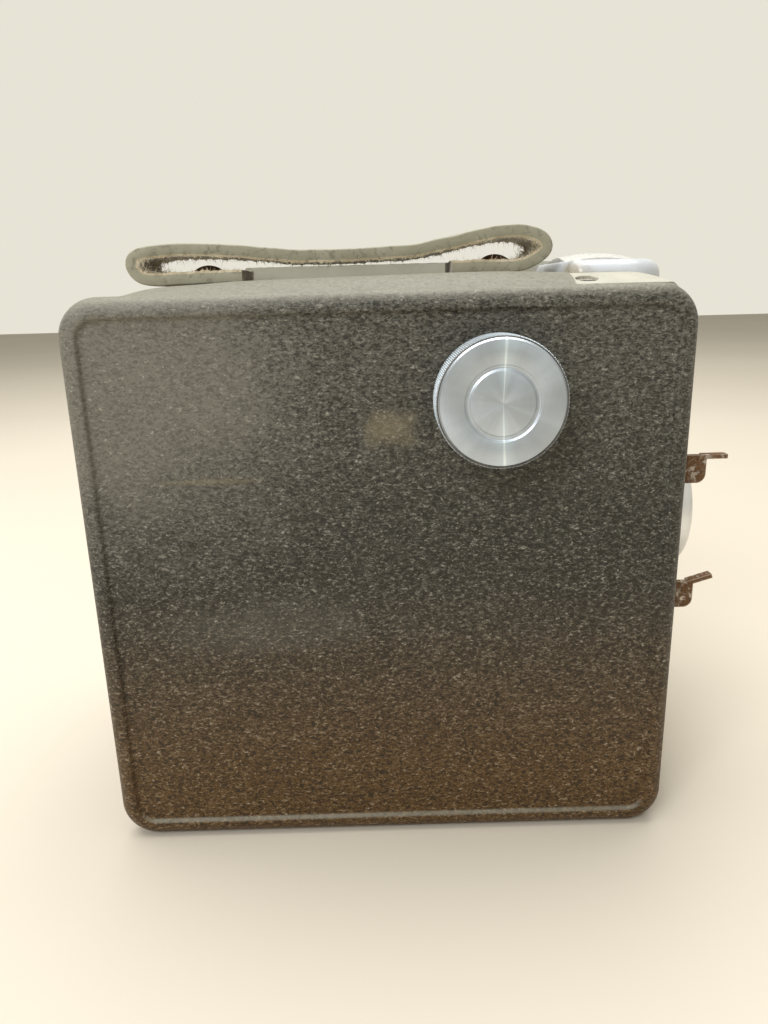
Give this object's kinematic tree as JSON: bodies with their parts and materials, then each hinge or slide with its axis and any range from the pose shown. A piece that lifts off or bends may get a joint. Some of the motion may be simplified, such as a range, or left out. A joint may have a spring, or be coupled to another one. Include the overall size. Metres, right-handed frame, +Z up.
{
  "type": "box camera",
  "caption": "Metal box roll-film camera with hinged back, knurled winding knob, cream finder deck, protruding lens barrel and riveted leather carrying strap.",
  "frame": {"origin": "centre of the tripod bush's mouth, in the middle of the base", "axes": "+X is the way the lens looks, +Z is up, and -Y is the side with the winding knob"},
  "size_m": [0.1284, 0.0926, 0.1238],
  "materials": {
    "casing_paint": "crinkle enamel",
    "front_metal": "satin enamel",
    "cream_enamel": "gloss enamel",
    "bright_metal": "polished",
    "knob_aluminium": "lathe turned",
    "nickel": "nickel plated",
    "rusty_steel": "rusted",
    "rivet_bronze": "tarnished",
    "brass": "plain",
    "black_paint": "matt black",
    "spool_plastic": "moulded",
    "strap_leather": "worn, with fuzzy cut edges",
    "clear_glass": "polished",
    "yellow_glass": "polished",
    "red_window": "polished",
    "mirror": "silvered"
  },
  "bodies": {
    "camera_body": {"body_wrap": "casing_paint", "right_side_cover": "casing_paint", "left_side_cover": "casing_paint", "front_plate": "front_metal", "strap_plate": "casing_paint", "top_deck": "cream_enamel", "top_ledge": "cream_enamel", "finder_frame": "bright_metal", "finder_top_lens": "clear_glass", "finder_box": "black_paint", "finder_mirror": "mirror", "finder_front_lens": "clear_glass", "tripod_bush": "nickel", "lens_barrel": "bright_metal", "main_lens": "clear_glass", "lens_retainer": "black_paint", "shutter_plate": "black_paint", "pivot_pins": "nickel", "lever_springs": "nickel", "light_cone": "black_paint", "film_gate": "black_paint", "right_cheek": "black_paint", "left_cheek": "black_paint", "spool_studs": "nickel", "spool_drag_spring": "brass", "winder_bush": "brass", "hinge_pin": "nickel", "carrying_strap": "strap_leather", "strap_rivets": "rivet_bronze", "deck_screws": "rusty_steel"},
    "door": {"back_door": "casing_paint", "red_window": "red_window", "window_guide": "casing_paint", "latch_bracket": "nickel"},
    "window_slide": {"window_cover": "nickel"},
    "latch": {"door_latch": "nickel"},
    "winder_sleeve": {"drive_sleeve": "brass"},
    "winder": {"winding_shaft": "nickel", "winding_knob": "knob_aluminium"},
    "take_up": {"take_up_spool": "spool_plastic"},
    "supply": {"supply_spool": "spool_plastic"},
    "top_roller": {"upper_roller": "nickel"},
    "bottom_roller": {"lower_roller": "nickel"},
    "release": {"release_lever": "nickel"},
    "shutter": {"shutter_disc": "black_paint"},
    "close_up": {"close_up_lever": "rusty_steel", "close_up_lens": "clear_glass"},
    "filter": {"filter_lever": "rusty_steel", "yellow_filter": "yellow_glass"},
    "bulb": {"bulb_slide": "nickel"}
  },
  "joints": [
    {"name": "door_swing", "type": "hinge", "parent": "camera_body", "child": "door", "pos_m": [-0.0533, 0, 0.0042], "axis": [0, -1, 0], "range_deg": [0, 85]},
    {"name": "window_cover_slide", "type": "slide", "parent": "door", "child": "window_slide", "axis": [0, 0, 1], "range_m": [0, 0.0125]},
    {"name": "latch_slide", "type": "slide", "parent": "door", "child": "latch", "axis": [0, 1, 0], "range_m": [0, 0.004]},
    {"name": "winder_turn", "type": "hinge", "parent": "camera_body", "child": "winder_sleeve", "pos_m": [0.021, 0, 0.092], "axis": [0, 1, 0], "continuous": true},
    {"name": "knob_pull", "type": "slide", "parent": "winder_sleeve", "child": "winder", "axis": [0, -1, 0], "range_m": [0, 0.0028]},
    {"name": "take_up_turn", "type": "hinge", "parent": "camera_body", "child": "take_up", "pos_m": [0.021, 0, 0.092], "axis": [0, 1, 0], "continuous": true},
    {"name": "supply_turn", "type": "hinge", "parent": "camera_body", "child": "supply", "pos_m": [0.021, 0, 0.029], "axis": [0, 1, 0], "continuous": true},
    {"name": "upper_roller_turn", "type": "hinge", "parent": "camera_body", "child": "top_roller", "pos_m": [-0.0485, 0, 0.105], "axis": [0, 1, 0], "continuous": true},
    {"name": "lower_roller_turn", "type": "hinge", "parent": "camera_body", "child": "bottom_roller", "pos_m": [-0.0485, 0, 0.016], "axis": [0, 1, 0], "continuous": true},
    {"name": "release_press", "type": "hinge", "parent": "camera_body", "child": "release", "pos_m": [0.0488, 0.028, 0.078], "axis": [1, 0, 0], "range_deg": [-20, 0]},
    {"name": "shutter_turn", "type": "hinge", "parent": "camera_body", "child": "shutter", "pos_m": [0.0472, 0.014, 0.0605], "axis": [1, 0, 0], "range_deg": [-50, 0]},
    {"name": "close_up_swing", "type": "hinge", "parent": "camera_body", "child": "close_up", "pos_m": [0.0536, -0.019, 0.0758], "axis": [1, 0, 0], "range_deg": [-28, 0]},
    {"name": "filter_swing", "type": "hinge", "parent": "camera_body", "child": "filter", "pos_m": [0.0516, -0.019, 0.0494], "axis": [1, 0, 0], "range_deg": [0, 28]},
    {"name": "bulb_slide_move", "type": "slide", "parent": "camera_body", "child": "bulb", "axis": [0, 0, 1], "range_m": [0, 0.006]}
  ],
  "couplings": [
    {"joint": "take_up_turn", "follows": "winder_turn", "ratio": 1},
    {"joint": "shutter_turn", "follows": "release_press", "ratio": 2.5}
  ]
}
